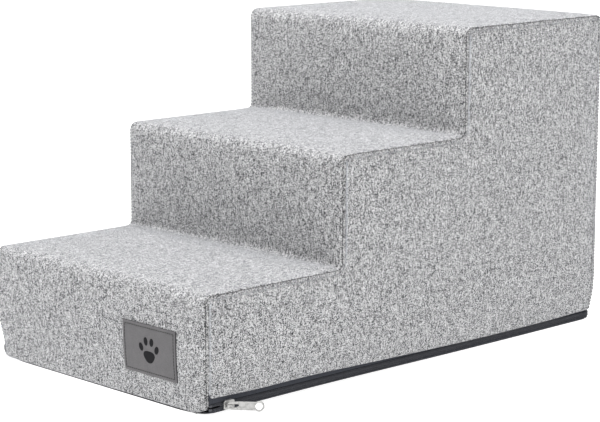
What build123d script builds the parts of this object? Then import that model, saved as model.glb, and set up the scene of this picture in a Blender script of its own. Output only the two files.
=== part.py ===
from build123d import *

import os
from math import cos, radians, sin

# Three-step foam pet stairs in a zipped fabric cover.
#
# Millimetres. +Z is up and z = 0 is the floor. -Y is the front, where the lowest step is, and +X is the
# side that carries the zip slider. The origin is on the floor, at the centre of the footprint.

# ---- overall size -------------------------------------------------------------------------------------
WIDTH = 300.0
TREAD_DEPTHS = (167.0, 167.0, 211.0)  # front step, middle step, top step
SLAB = 105.6  # thickness of one foam slab, which is also one step's rise
CLOTH = 1.2  # upholstery fabric with its backing
BASE = 1.0  # anti-slip base cloth
NOSING_RADIUS = 9.0  # cover's outer radius over each step's front edge
CREASE_RADIUS = 9.0  # cover's outer radius where a tread meets the next riser

# ---- bottom slab and base cloth -----------------------------------------------------------------------
SKIRT = 20.5  # height over which the bottom slab's lower edges are cut back, clear of the slider
SKIRT_INSET = 7.8
SKIRT_CORNERS = (8.0, 10.0)  # plan radii of the slab's back corners at the bottom and top of the skirt
BASE_CORNER = 12.0  # base cloth's two front corners

# ---- zip: a size 5 coil zip round the right side, the back and the left side --------------------------
ZIP_FRONT_HEIGHT = 7.7  # middle of the chain above the floor, at the front end of the zip
ZIP_DROP = 1.9  # how much lower the chain lies at the back
ZIP_FRONT_INSET = 4.5  # the zip starts this far behind the front face
ZIP_CORNER = 10.0  # radius of the tape's outer face round the back corners
COVER_LIFT = 4.5  # the cover's lower edge is this far above the middle of the chain
TAPE = 0.6  # thickness of the woven tape
TAPE_TOP = 18.0  # the upper tape runs up behind the cover to this height
TAPE_BOW = 1.3  # radius at which the lower tape turns in under the chain
TAPE_LAP = 7.0  # how far in from the tape's outer face the lower tape laps over the base cloth
COIL_THICKNESS = 1.5
COIL_INNER = 0.7  # each coil's near edge from the middle of the chain
COIL_OUTER = 2.7  # each coil's far edge from the middle of the chain
STOP_LENGTH = 3.0
STOP_THICKNESS = 1.8
STOP_CORNER = 0.5
STOP_ROUND = 0.3
TAB_GAP = 0.2  # between the side panel's front tab and the zip

# ---- slider, bail and pull ----------------------------------------------------------------------------
SLIDER_LENGTH = 12.5
SLIDER_FRONT_GAP = 20.0  # from the front face to the slider's front end, zip closed
SLIDER_HALF_WIDTH = 4.2
BACK_HALF_WIDTH = 3.4  # half width of the slider's plate behind the tape
PLATE = 1.2  # thickness of the slider's outer plate
BACK_PLATE = 1.0  # thickness of the slider's plate behind the tape
LIP_INNER = 3.1  # the slider's lips start this far from the middle of the chain
LIP_LENGTH = 7.5
LIP_ROUND = 0.3
SLIDE_GAP = 0.3  # between the slider and the tape, on both faces
COIL_GAP = 0.4  # between the coils and the outer plate
PLATE_SHOULDER = 2.4  # length over which the plates narrow at each end
PLATE_NOSE = 0.72  # front end's share of the plate's half width
PLATE_TAIL = 0.86  # back end's share of the plate's half width
PLATE_CORNERS = (0.8, 1.2, 1.6, 0.8)  # corner radii along one long edge, front to back
PLATE_ROUND = 0.5
BACK_PLATE_ROUND = 0.4
POST = 1.0  # thickness of the post between the two coils
POST_LENGTH = 3.2
POST_INSET = 2.8  # middle of the post behind the slider's front end
POST_ROUND = 0.45
BAIL_WIRE = 1.0  # thickness of the bail's arch
BAIL_WIDTH = 1.8
BAIL_RISE = 3.9  # height of the arch over the outer plate
BAIL_SPAN = 8.8
BAIL_INSET = 1.2  # the bail starts this far behind the slider's front end
BAIL_CORNERS = (1.6, 2.4)  # outer radii of the arch, front and back
BAIL_ROUND = 0.3
PIVOT_RISE = 1.7  # pull's pivot above the slider's outer face
PIVOT_INSET = 2.1  # pull's pivot behind the bail's front
PULL_ANGLE = 42.0  # pull's direction at rest, from +Y towards +X
PULL_DROOP = 2.0  # and its fall towards the ring, which clears the floor along the whole zip
PULL_REACH = 27.0  # pivot to the middle of the ring
PULL_WIDTH = 7.9
PULL_NECK = 0.8  # pivot end's share of the width
PULL_NECK_RADIUS = 2.0
PULL_SHOULDER_RADIUS = 3.0
PULL_TIP_RADIUS = 0.5
PULL_THICKNESS = 1.4
PULL_RING = 9.8
PULL_HOLE = 6.6
PULL_BAR = 1.5  # bar at the pivot end, which turns inside the bail
PULL_SLOT_END = 9.2
PULL_SLOT_WIDTH = 3.0
PULL_SLOT_CORNER = 0.7
PULL_EDGE_ROUND = 0.35

# ---- label, stitching ---------------------------------------------------------------------------------
LABEL_CENTRE = (78.5, 47.9)  # x, z on the front face
LABEL_WIDTH = 72.0
LABEL_HEIGHT = 47.0
LABEL_THICKNESS = 1.2
LABEL_CORNER = 1.0
LABEL_ROUND = 0.4
LABEL_STITCH_INSET = 3.0
MOTIF_THICKNESS = 0.3
PAD_DROP = 5.6  # middle of the paw's pad below the middle of the label
PAD_RADII = (7.6, 5.6)
TOE_RADII = (2.7, 3.9)
TOES = ((-10.5, 2.0, 24.0), (-3.9, 8.0, 8.0), (3.9, 8.0, -8.0), (10.5, 2.0, -24.0))  # x, y, tilt
THREAD_RADIUS = 0.25
UPPER_THREAD_DROP = 2.5  # the upper tape's stitch row below its top edge
LOWER_THREAD_INSET = 2.0  # the lower tape's stitch row from its inner edge
BASE_THREAD_INSET = 12.0  # each end of the base's stitch row from the side panel
SEAM_GROOVE = 0.9  # leg of the bevel along each side panel's edge, where its stitches lie

# ---- derived ------------------------------------------------------------------------------------------
LENGTH = sum(TREAD_DEPTHS)
FRONT = -LENGTH / 2
BACK = LENGTH / 2
SIDE = WIDTH / 2
PANEL_INNER = SIDE - CLOTH
RISER_YS = (FRONT + TREAD_DEPTHS[0], FRONT + TREAD_DEPTHS[0] + TREAD_DEPTHS[1])
TREAD_ZS = tuple(BASE + step * SLAB + CLOTH for step in (1, 2, 3))
TAPE_FACE_X = PANEL_INNER  # the tape's outer face lies against the cover's inner face
TAPE_FACE_Y = BACK - CLOTH
ZIP_FRONT = FRONT + ZIP_FRONT_INSET
SLIDER_FRONT = FRONT + SLIDER_FRONT_GAP
SLIDER_BACK = SLIDER_FRONT + SLIDER_LENGTH
OUTER_PLATE_X = PANEL_INNER + COIL_THICKNESS + COIL_GAP
PLATE_FACE_X = OUTER_PLATE_X + PLATE
BACK_PLATE_X = TAPE_FACE_X - TAPE - SLIDE_GAP
BAIL_FRONT = SLIDER_FRONT + BAIL_INSET
ZIP_RUN = TAPE_FACE_Y - ZIP_FRONT
SLIDER_HEIGHT = ZIP_FRONT_HEIGHT - ZIP_DROP * (SLIDER_FRONT - ZIP_FRONT) / ZIP_RUN
COVER_FRONT_EDGE = ZIP_FRONT_HEIGHT + COVER_LIFT
COVER_BACK_EDGE = ZIP_FRONT_HEIGHT - ZIP_DROP + COVER_LIFT
PIVOT = (PLATE_FACE_X + PIVOT_RISE, BAIL_FRONT + PIVOT_INSET, SLIDER_HEIGHT)

os.makedirs("parts", exist_ok=True)


def save(piece, name):
    """Label one finished piece and write its STEP file."""
    piece.part.label = name
    export_step(piece.part, f"parts/{name}.step")


# ---- outlines shared by several pieces ----------------------------------------------------------------
def stair_points(inset, back_bottom):
    """Corner points of the stairs' side view as (y, z), moved in by inset from the cover's outer face."""
    return (
        (FRONT + inset, BASE),
        (FRONT + inset, TREAD_ZS[0] - inset),
        (RISER_YS[0] + inset, TREAD_ZS[0] - inset),
        (RISER_YS[0] + inset, TREAD_ZS[1] - inset),
        (RISER_YS[1] + inset, TREAD_ZS[1] - inset),
        (RISER_YS[1] + inset, TREAD_ZS[2] - inset),
        (BACK - inset, TREAD_ZS[2] - inset),
        (BACK - inset, back_bottom),
    )


def stair_radii(inset):
    """Radius at each inner corner of stair_points: a nosing tightens and a crease opens with the inset."""
    nosing = NOSING_RADIUS - inset
    crease = CREASE_RADIUS + inset
    return (nosing, crease, nosing, crease, nosing, nosing)


def stair_line(inset, back_bottom):
    """The cover's side view as one open line with its rounded corners, for use inside a BuildLine."""
    return FilletPolyline(*stair_points(inset, back_bottom), radius=stair_radii(inset))


def zip_section_plane():
    """Plane across the zip at its right front end: local x points out of the side, local y points up."""
    return Plane(origin=(TAPE_FACE_X, ZIP_FRONT, 0), x_dir=(1, 0, 0), z_dir=(0, -1, 0))


def run_round_stairs(section, slope=0.0):
    """Carry a zip section along the right side, round both back corners and back along the left side.

    It is used inside a BuildPart, and adds one straight run or one quarter turn at a time. The side runs
    fall towards the back by slope millimetres in each millimetre.
    """
    corner_x = TAPE_FACE_X - ZIP_CORNER
    corner_y = TAPE_FACE_Y - ZIP_CORNER
    length = (corner_y - ZIP_FRONT) * (1 + slope**2) ** 0.5
    run = extrude(section, amount=length, dir=(0, 1, -slope), mode=Mode.PRIVATE)
    add(run)
    add(mirror(run, about=Plane.YZ, mode=Mode.PRIVATE))
    at_corner = run.faces().sort_by(Axis.Y)[-1]
    turn_axis = Axis((corner_x, corner_y, 0), (0, 0, 1))
    turn = revolve(at_corner, axis=turn_axis, revolution_arc=90, mode=Mode.PRIVATE)
    add(turn)
    add(mirror(turn, about=Plane.YZ, mode=Mode.PRIVATE))
    at_back = turn.faces().filter_by(Axis.X).sort_by(Axis.X)[0]
    add(extrude(at_back, amount=2 * corner_x, dir=(-1, 0, 0), mode=Mode.PRIVATE))


def round_backed_line(half_width, front, back, corner):
    """Closed plan outline with two rounded back corners, for use inside a BuildLine."""
    FilletPolyline(
        (half_width, front),
        (half_width, back),
        (-half_width, back),
        (-half_width, front),
        radius=(corner, corner),
    )
    Line((half_width, front), (-half_width, front))


# ---- foam ---------------------------------------------------------------------------------------------
def foam_slab_bottom():
    """Lowest slab. Its lower side and back edges are cut back to give the zip and its slider room."""
    front = FRONT + CLOTH
    back = BACK - CLOTH
    with BuildPart() as slab:
        with BuildSketch(Plane.XY.offset(BASE)):
            with BuildLine():
                round_backed_line(PANEL_INNER - SKIRT_INSET, front, back - SKIRT_INSET, SKIRT_CORNERS[0])
            make_face()
        with BuildSketch(Plane.XY.offset(BASE + SKIRT)):
            with BuildLine():
                round_backed_line(PANEL_INNER, front, back, SKIRT_CORNERS[1])
            make_face()
        loft(ruled=True)
        with BuildSketch(Plane.XY.offset(BASE + SKIRT)):
            with Locations((0, (front + back) / 2)):
                Rectangle(2 * PANEL_INNER, back - front)
        extrude(amount=SLAB - SKIRT)
        top_front = slab.edges().filter_by(Axis.X).group_by(Axis.Z)[-1].sort_by(Axis.Y)[0]
        fillet(top_front, NOSING_RADIUS - CLOTH)
        bottom_front = slab.edges().filter_by(Axis.X).group_by(Axis.Z)[0].sort_by(Axis.Y)[0]
        chamfer(bottom_front, 4 * THREAD_RADIUS)
    return slab


def foam_slab(step, rounded_back):
    """Middle or top slab, a plain block under its own tread, rounded at its front top edge."""
    front = RISER_YS[step - 1] + CLOTH
    back = BACK - CLOTH
    with BuildPart() as slab:
        with BuildSketch(Plane.XY.offset(BASE + step * SLAB)):
            with Locations((0, (front + back) / 2)):
                Rectangle(2 * PANEL_INNER, back - front)
        extrude(amount=SLAB)
        top_edges = slab.edges().filter_by(Axis.X).group_by(Axis.Z)[-1].sort_by(Axis.Y)
        fillet(top_edges if rounded_back else top_edges[:1], NOSING_RADIUS - CLOTH)
    return slab


# ---- cover --------------------------------------------------------------------------------------------
def stair_panel():
    """The strip of fabric that runs up the front, over every tread and riser, and down the back."""
    with BuildPart() as strip:
        with BuildSketch(Plane.YZ):
            with BuildLine():
                outer = stair_line(0, COVER_BACK_EDGE)
                inner = stair_line(CLOTH, COVER_BACK_EDGE)
                Line(outer @ 0, inner @ 0)
                Line(outer @ 1, inner @ 1)
            make_face()
        extrude(amount=PANEL_INNER, both=True)
    return strip


def side_panel(side):
    """One stair-shaped side, 1 for right and -1 for left. Its front tab ends just short of the zip."""
    tab_back = ZIP_FRONT - TAB_GAP
    with BuildPart() as panel:
        with BuildSketch(Plane.YZ.offset(side * PANEL_INNER)):
            with BuildLine():
                outline = stair_line(0, COVER_BACK_EDGE)
                Line(outline @ 1, (tab_back, COVER_FRONT_EDGE))
                Line((tab_back, COVER_FRONT_EDGE), (tab_back, BASE))
                Line((tab_back, BASE), outline @ 0)
            make_face()
        extrude(amount=side * CLOTH)
        rim = panel.faces().sort_by(Axis.X)[-1 if side > 0 else 0].outer_wire().edges()
        sewn = rim.filter_by(lambda edge: not on_lower_edge(edge))
        chamfer(sewn, SEAM_GROOVE)
    return panel


def on_lower_edge(edge):
    """True for the side panel's edges along the zip and the floor, which have no seam."""
    centre = edge.center()
    along_zip = abs(centre.Z - (COVER_FRONT_EDGE + COVER_BACK_EDGE) / 2) < CLOTH
    at_floor = abs(centre.Z - BASE) < CLOTH
    at_tab = abs(centre.Y - ZIP_FRONT) < CLOTH and centre.Z < COVER_FRONT_EDGE
    return along_zip or at_floor or at_tab


def seam_thread(side):
    """Stitching that lies in the bevel along one side panel's edge, modelled as one continuous thread."""
    bevel_middle = SEAM_GROOVE / 2
    lift = THREAD_RADIUS / 2**0.5
    inset = bevel_middle - lift
    x = side * (SIDE - bevel_middle + lift)
    lower_front = BASE + SEAM_GROOVE
    with BuildPart() as thread:
        with BuildLine(Plane.YZ.offset(x)) as route:
            points = list(stair_points(inset, COVER_BACK_EDGE + SEAM_GROOVE))
            points[0] = (FRONT + inset, lower_front)
            FilletPolyline(*points, radius=stair_radii(inset))
        start = Plane(origin=route.line @ 0, z_dir=route.line % 0)
        with BuildSketch(start):
            Circle(THREAD_RADIUS)
        sweep(path=route.line)
    return thread


def base_panel():
    """Anti-slip cloth under the stairs, sewn to the cover in front and to the zip on its other sides."""
    half_width = TAPE_FACE_X - TAPE / 2 - TAPE_BOW
    back = TAPE_FACE_Y - TAPE / 2 - TAPE_BOW
    with BuildPart() as base:
        with BuildSketch():
            with BuildLine():
                round_backed_line(half_width, FRONT, back, ZIP_CORNER - TAPE_BOW)
            make_face()
        extrude(amount=BASE)
        fillet(base.edges().filter_by(Axis.Z).group_by(Axis.Y)[0], BASE_CORNER)
    return base


def base_seam_thread():
    """Hidden stitch row where the base cloth joins the front of the cover."""
    half_length = PANEL_INNER - BASE_THREAD_INSET
    with BuildPart() as thread:
        with BuildSketch(Plane.YZ.offset(-half_length)):
            with Locations((FRONT + CLOTH + THREAD_RADIUS, BASE + THREAD_RADIUS)):
                Circle(THREAD_RADIUS)
        extrude(amount=2 * half_length)
    return thread


# ---- zip ----------------------------------------------------------------------------------------------
def chain_plane(offset):
    """Sloping plane along the zip, offset above the middle of the chain."""
    return Plane(origin=(0, ZIP_FRONT, ZIP_FRONT_HEIGHT + offset), z_dir=(0, ZIP_DROP, ZIP_RUN))


def zip_tape_upper():
    """Tape sewn behind the cover's lower edge, cut level with the sloping chain."""
    with BuildPart() as tape:
        with BuildSketch(zip_section_plane(), mode=Mode.PRIVATE) as section:
            with Locations((-TAPE / 2, TAPE_TOP / 2)):
                Rectangle(TAPE, TAPE_TOP)
        run_round_stairs(section.sketch)
        split(bisect_by=chain_plane(COIL_INNER), keep=Keep.TOP)
    return tape


def zip_tape_lower():
    """Tape that hangs from the lower coil, turns in under it and laps over the base cloth."""
    with BuildPart() as tape:
        with BuildSketch(zip_section_plane(), mode=Mode.PRIVATE) as section:
            with BuildLine():
                FilletPolyline(
                    (-TAPE, ZIP_FRONT_HEIGHT),
                    (-TAPE, BASE + TAPE),
                    (-TAPE_LAP, BASE + TAPE),
                    radius=TAPE_BOW - TAPE / 2,
                )
                FilletPolyline(
                    (0, ZIP_FRONT_HEIGHT),
                    (0, BASE),
                    (-TAPE_LAP, BASE),
                    radius=TAPE_BOW + TAPE / 2,
                )
                Line((-TAPE, ZIP_FRONT_HEIGHT), (0, ZIP_FRONT_HEIGHT))
                Line((-TAPE_LAP, BASE), (-TAPE_LAP, BASE + TAPE))
            make_face()
        run_round_stairs(section.sketch)
        split(bisect_by=chain_plane(-COIL_INNER), keep=Keep.BOTTOM)
    return tape


def zip_coil(above):
    """Envelope of one coil: above is 1 for the coil on the upper tape and -1 for the lower one."""
    with BuildPart() as coil:
        with BuildSketch(zip_section_plane(), mode=Mode.PRIVATE) as section:
            middle = ZIP_FRONT_HEIGHT + above * (COIL_INNER + COIL_OUTER) / 2
            with Locations((COIL_THICKNESS / 2, middle)):
                RectangleRounded(COIL_THICKNESS, COIL_OUTER - COIL_INNER, COIL_THICKNESS / 3)
        run_round_stairs(section.sketch, slope=ZIP_DROP / ZIP_RUN)
        with BuildSketch(Plane.XY):
            with Locations((0, ZIP_FRONT)):
                Rectangle(WIDTH + 2 * CLOTH, 2 * STOP_LENGTH)
        extrude(amount=2 * ZIP_FRONT_HEIGHT, mode=Mode.SUBTRACT)
    return coil


def zip_stops_front():
    """The two stops that hold the slider on its coils, one at the front end of each coil."""
    height = COIL_OUTER - COIL_INNER
    offset = (COIL_OUTER + COIL_INNER) / 2
    middle = ZIP_FRONT + STOP_LENGTH / 2
    with BuildPart() as stops:
        with BuildSketch(Plane.YZ.offset(TAPE_FACE_X)):
            with Locations((middle, ZIP_FRONT_HEIGHT + offset), (middle, ZIP_FRONT_HEIGHT - offset)):
                RectangleRounded(STOP_LENGTH, height, STOP_CORNER)
        extrude(amount=STOP_THICKNESS)
        fillet(stops.faces().group_by(Axis.X)[-1].edges(), STOP_ROUND)
    return stops


def zip_stop_end():
    """The stop across both coils at the zip's other end, on the left side."""
    with BuildPart() as stop:
        with BuildSketch(Plane.YZ.offset(-TAPE_FACE_X)):
            with Locations((ZIP_FRONT + STOP_LENGTH / 2, ZIP_FRONT_HEIGHT)):
                RectangleRounded(STOP_LENGTH, 2 * COIL_OUTER, STOP_CORNER)
        extrude(amount=-STOP_THICKNESS)
        fillet(stop.faces().sort_by(Axis.X)[0].edges(), STOP_ROUND)
    return stop


def zip_seam_thread_upper():
    """Hidden stitch row on the inner face of the upper tape, which holds it to the cover."""
    return zip_thread(-TAPE - THREAD_RADIUS, TAPE_TOP - UPPER_THREAD_DROP)


def zip_seam_thread_lower():
    """Hidden stitch row on top of the lower tape, which holds it to the base cloth."""
    return zip_thread(LOWER_THREAD_INSET - TAPE_LAP, BASE + TAPE + THREAD_RADIUS)


def zip_thread(face_offset, height):
    """A thread that follows the zip, face_offset out from the tape's face."""
    with BuildPart() as thread:
        with BuildSketch(zip_section_plane(), mode=Mode.PRIVATE) as section:
            with Locations((face_offset, height)):
                Circle(THREAD_RADIUS)
        run_round_stairs(section.sketch)
    return thread


# ---- slider -------------------------------------------------------------------------------------------
def slider_outline(half_width):
    """Outline of one of the slider's plates, for use inside a BuildLine. It narrows at both ends."""
    nose = PLATE_NOSE * half_width
    tail = PLATE_TAIL * half_width
    FilletPolyline(
        (SLIDER_FRONT, nose),
        (SLIDER_FRONT + PLATE_SHOULDER, half_width),
        (SLIDER_BACK - PLATE_SHOULDER, half_width),
        (SLIDER_BACK, tail),
        (SLIDER_BACK, -tail),
        (SLIDER_BACK - PLATE_SHOULDER, -half_width),
        (SLIDER_FRONT + PLATE_SHOULDER, -half_width),
        (SLIDER_FRONT, -nose),
        radius=PLATE_CORNERS + PLATE_CORNERS[::-1],
        close=True,
    )


def slider_body():
    """Cast body: an outer plate with two lips, a plate behind the tape, and the post that joins them."""
    chain = Plane.YZ.shift_origin((0, 0, SLIDER_HEIGHT))
    lip = SLIDER_HALF_WIDTH - LIP_INNER
    lip_middle = (SLIDER_HALF_WIDTH + LIP_INNER) / 2
    lip_centre = (SLIDER_FRONT + SLIDER_BACK) / 2
    with BuildPart() as body:
        with BuildSketch(chain.offset(OUTER_PLATE_X)):
            with BuildLine():
                slider_outline(SLIDER_HALF_WIDTH)
            make_face()
        extrude(amount=PLATE)
        fillet(body.faces().sort_by(Axis.X)[-1].edges(), PLATE_ROUND)
        with BuildSketch(chain.offset(BACK_PLATE_X - BACK_PLATE)):
            with BuildLine():
                slider_outline(BACK_HALF_WIDTH)
            make_face()
        extrude(amount=BACK_PLATE)
        back_plate = body.faces().filter_by(Axis.X).sort_by(Axis.X)
        fillet(back_plate[0].edges() + back_plate[1].edges(), BACK_PLATE_ROUND)
        with BuildSketch(chain.offset(BACK_PLATE_X - BACK_PLATE / 2)):
            with Locations((SLIDER_FRONT + POST_INSET, 0)):
                RectangleRounded(POST_LENGTH, POST, POST_ROUND)
        extrude(amount=OUTER_PLATE_X - BACK_PLATE_X + BACK_PLATE / 2)
        with BuildSketch(chain.offset(TAPE_FACE_X + SLIDE_GAP)):
            with Locations((lip_centre, lip_middle), (lip_centre, -lip_middle)):
                RectangleRounded(LIP_LENGTH, lip, LIP_ROUND)
        extrude(amount=OUTER_PLATE_X - TAPE_FACE_X - SLIDE_GAP)
    return body


def off_the_plate(edge):
    """True for the bail's edges that don't lie on the slider's outer plate."""
    return edge.center().X > PLATE_FACE_X + BAIL_ROUND / 10


def slider_bail():
    """Arch on the outer plate that keeps the pull's bar."""
    crown = PLATE_FACE_X + BAIL_RISE
    back_foot = BAIL_FRONT + BAIL_SPAN
    with BuildPart() as bail:
        with BuildSketch(Plane.XY.offset(SLIDER_HEIGHT - BAIL_WIDTH / 2)):
            with BuildLine():
                FilletPolyline(
                    (PLATE_FACE_X, BAIL_FRONT),
                    (crown, BAIL_FRONT),
                    (crown, back_foot),
                    (PLATE_FACE_X, back_foot),
                    radius=BAIL_CORNERS,
                )
                FilletPolyline(
                    (PLATE_FACE_X, BAIL_FRONT + BAIL_WIRE),
                    (crown - BAIL_WIRE, BAIL_FRONT + BAIL_WIRE),
                    (crown - BAIL_WIRE, back_foot - BAIL_WIRE),
                    (PLATE_FACE_X, back_foot - BAIL_WIRE),
                    radius=(BAIL_CORNERS[0] - BAIL_WIRE, BAIL_CORNERS[1] - BAIL_WIRE),
                )
                Line((PLATE_FACE_X, BAIL_FRONT), (PLATE_FACE_X, BAIL_FRONT + BAIL_WIRE))
                Line((PLATE_FACE_X, back_foot), (PLATE_FACE_X, back_foot - BAIL_WIRE))
            make_face()
        extrude(amount=BAIL_WIDTH)
        rims = bail.faces().filter_by(Axis.Z).edges()
        fillet(rims.filter_by(off_the_plate), BAIL_ROUND)
    return bail


def zip_pull():
    """Flat pull: a slotted plate that hooks the bail by its end bar, with a ring at the far end."""
    turn = radians(PULL_ANGLE)
    droop = radians(PULL_DROOP)
    along = (sin(turn) * cos(droop), cos(turn) * cos(droop), -sin(droop))
    face = (cos(turn), -sin(turn), 0)
    pull_plane = Plane(origin=PIVOT, x_dir=along, z_dir=face)
    neck = PULL_NECK * PULL_WIDTH / 2
    half_width = PULL_WIDTH / 2
    slot_start = PULL_BAR / 2
    corners = (PULL_NECK_RADIUS, PULL_SHOULDER_RADIUS, PULL_TIP_RADIUS)
    with BuildPart() as pull:
        with BuildSketch(pull_plane.offset(-PULL_THICKNESS / 2)):
            with BuildLine():
                FilletPolyline(
                    (-PULL_BAR / 2, -neck),
                    (PULL_SLOT_END, -half_width),
                    (PULL_REACH, -half_width),
                    (PULL_REACH, half_width),
                    (PULL_SLOT_END, half_width),
                    (-PULL_BAR / 2, neck),
                    radius=corners + corners[::-1],
                    close=True,
                )
            make_face()
            with Locations((PULL_REACH, 0)):
                Circle(PULL_RING / 2)
                Circle(PULL_HOLE / 2, mode=Mode.SUBTRACT)
            with Locations(((slot_start + PULL_SLOT_END) / 2, 0)):
                RectangleRounded(
                    PULL_SLOT_END - slot_start,
                    PULL_SLOT_WIDTH,
                    PULL_SLOT_CORNER,
                    mode=Mode.SUBTRACT,
                )
        extrude(amount=PULL_THICKNESS)
        faces = pull.faces().sort_by(Axis(PIVOT, face))
        fillet(faces[0].edges() + faces[-1].edges(), PULL_EDGE_ROUND)
    return pull


# ---- label --------------------------------------------------------------------------------------------
def label_plane(depth):
    """Plane parallel to the front face, depth in front of it: local x is +X and local y is +Z."""
    return Plane(
        origin=(LABEL_CENTRE[0], FRONT - depth, LABEL_CENTRE[1]),
        x_dir=(1, 0, 0),
        z_dir=(0, -1, 0),
    )


def label_patch():
    """Plain rectangular patch on the lowest riser."""
    with BuildPart() as patch:
        with BuildSketch(label_plane(0)):
            RectangleRounded(LABEL_WIDTH, LABEL_HEIGHT, LABEL_CORNER)
        extrude(amount=LABEL_THICKNESS)
        fillet(patch.faces().sort_by(Axis.Y)[0].edges(), LABEL_ROUND)
    return patch


def label_stitching():
    """Rectangular stitch row that holds the patch to the cover."""
    half_width = LABEL_WIDTH / 2 - LABEL_STITCH_INSET
    half_height = LABEL_HEIGHT / 2 - LABEL_STITCH_INSET
    width = 2 * THREAD_RADIUS
    with BuildPart() as stitching:
        with BuildSketch(label_plane(LABEL_THICKNESS)):
            Rectangle(2 * half_width + width, 2 * half_height + width)
            Rectangle(2 * half_width - width, 2 * half_height - width, mode=Mode.SUBTRACT)
        extrude(amount=THREAD_RADIUS)
    return stitching


def label_motif():
    """Generic paw print: one pad and four toes."""
    with BuildPart() as motif:
        with BuildSketch(label_plane(LABEL_THICKNESS)):
            with Locations((0, -PAD_DROP)):
                Ellipse(*PAD_RADII)
            for x, y, tilt in TOES:
                with Locations(Location((x, y, 0), (0, 0, tilt))):
                    Ellipse(*TOE_RADII)
        extrude(amount=MOTIF_THICKNESS)
    return motif


# ---- every piece, one STEP file each ------------------------------------------------------------------
save(foam_slab_bottom(), "foam_slab_bottom")
save(foam_slab(1, rounded_back=False), "foam_slab_middle")
save(foam_slab(2, rounded_back=True), "foam_slab_top")
save(stair_panel(), "stair_panel")
save(side_panel(1), "side_panel_right")
save(side_panel(-1), "side_panel_left")
save(seam_thread(1), "seam_thread_right")
save(seam_thread(-1), "seam_thread_left")
save(base_panel(), "base_panel")
save(base_seam_thread(), "base_seam_thread")
save(zip_tape_upper(), "zip_tape_upper")
save(zip_tape_lower(), "zip_tape_lower")
save(zip_coil(1), "zip_coil_upper")
save(zip_coil(-1), "zip_coil_lower")
save(zip_stops_front(), "zip_stops_front")
save(zip_stop_end(), "zip_stop_end")
save(zip_seam_thread_upper(), "zip_seam_thread_upper")
save(zip_seam_thread_lower(), "zip_seam_thread_lower")
save(slider_body(), "slider_body")
save(slider_bail(), "slider_bail")
save(zip_pull(), "zip_pull")
save(label_patch(), "label_patch")
save(label_stitching(), "label_stitching")
save(label_motif(), "label_motif")
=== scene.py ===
import math

import bmesh
import bpy
import numpy as np
from mathutils import Matrix, Vector
from mathutils.bvhtree import BVHTree
from mathutils.geometry import delaunay_2d_cdt


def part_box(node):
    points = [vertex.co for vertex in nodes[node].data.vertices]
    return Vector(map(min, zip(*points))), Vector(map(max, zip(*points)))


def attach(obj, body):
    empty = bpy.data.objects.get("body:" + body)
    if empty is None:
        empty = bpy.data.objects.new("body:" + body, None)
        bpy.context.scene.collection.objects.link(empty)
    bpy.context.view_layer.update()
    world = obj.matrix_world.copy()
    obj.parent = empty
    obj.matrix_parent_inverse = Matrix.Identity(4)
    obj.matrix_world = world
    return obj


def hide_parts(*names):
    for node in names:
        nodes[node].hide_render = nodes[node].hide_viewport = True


# Looks for the foam pet stairs: a padded fabric cover with its seams, the coil zip, the slider and pull,
# the patch, the base cloth and the foam blocks inside. Metres, in the CAD model's frame: +X is the side with
# the slider, -Y the front and +Z up.

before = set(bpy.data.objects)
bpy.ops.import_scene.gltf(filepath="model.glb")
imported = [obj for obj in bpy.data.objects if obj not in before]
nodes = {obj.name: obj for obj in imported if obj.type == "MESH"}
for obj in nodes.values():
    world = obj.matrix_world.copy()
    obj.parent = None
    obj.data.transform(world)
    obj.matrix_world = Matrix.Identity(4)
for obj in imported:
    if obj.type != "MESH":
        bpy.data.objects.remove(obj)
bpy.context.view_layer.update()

MM = 0.001


# ---- sizes read from the CAD model ----
def low(node):
    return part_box(node)[0]


def high(node):
    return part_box(node)[1]


SIDE = high("side_panel_right").x
CLOTH = SIDE - low("side_panel_right").x
FRONT = low("stair_panel").y
BACK = high("stair_panel").y
BASE_TOP = high("base_panel").z
TREADS = (
    high("foam_slab_bottom").z + CLOTH,
    high("foam_slab_middle").z + CLOTH,
    high("stair_panel").z,
)
RISERS = (low("foam_slab_middle").y - CLOTH, low("foam_slab_top").y - CLOTH)
TAPE_X = SIDE - CLOTH
TAPE_Y = BACK - CLOTH
ZIP_START = low("zip_tape_upper").y
COIL_HALF = 2.7 * MM  # from the middle of the chain to the CAD coil's far edge
CHAIN_FRONT = high("zip_coil_upper").z - COIL_HALF
CHAIN_BACK = low("zip_coil_lower").z + COIL_HALF
ZIP_CORNER = 10 * MM  # plan radius of the zip round the back corners
FRONT_CORNER = 12 * MM  # plan radius of the front corners near the floor
LABEL_LOW, LABEL_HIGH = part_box("label_patch")

CELL = 6.2 * MM  # spacing of the cover's mesh before it is subdivided
NOSING = 8.5 * MM  # radius of the outline where a tread meets the riser below it
CREASE = 5 * MM  # radius where a tread meets the riser above it
BRIDGE = 2.6 * MM  # how far the strip stands off each inner corner at the middle of its width
BRIDGE_REACH = 9 * MM
FULLNESS = 1.4 * MM  # how far the padded cover stands proud of its CAD panels
SEAM_LIFT = 0.2 * MM  # the cover's front edge and the sides' front tabs start this far above the base


def smooth(edge0, edge1, x):
    """Smoothstep of x from edge0 to edge1, for numbers and arrays."""
    t = np.clip((np.asarray(x, float) - edge0) / (edge1 - edge0), 0, 1)
    return t * t * (3 - 2 * t)


def bump(x, centre, before, after):
    """A bell of height 1 at centre, with its own width on each side."""
    x = np.asarray(x, float)
    width = np.where(x < centre, before, after)
    return np.exp(-(((x - centre) / width) ** 2))


# ---- small mesh helpers ----
def new_object(name, verts, faces, material=None):
    """A smooth-shaded mesh object in the scene."""
    mesh = bpy.data.meshes.new(name)
    mesh.from_pydata([tuple(v) for v in verts], [], [tuple(f) for f in faces])
    mesh.update()
    mesh.shade_smooth()
    obj = bpy.data.objects.new(name, mesh)
    bpy.context.scene.collection.objects.link(obj)
    if material is not None:
        mesh.materials.append(material)
    return obj


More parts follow.
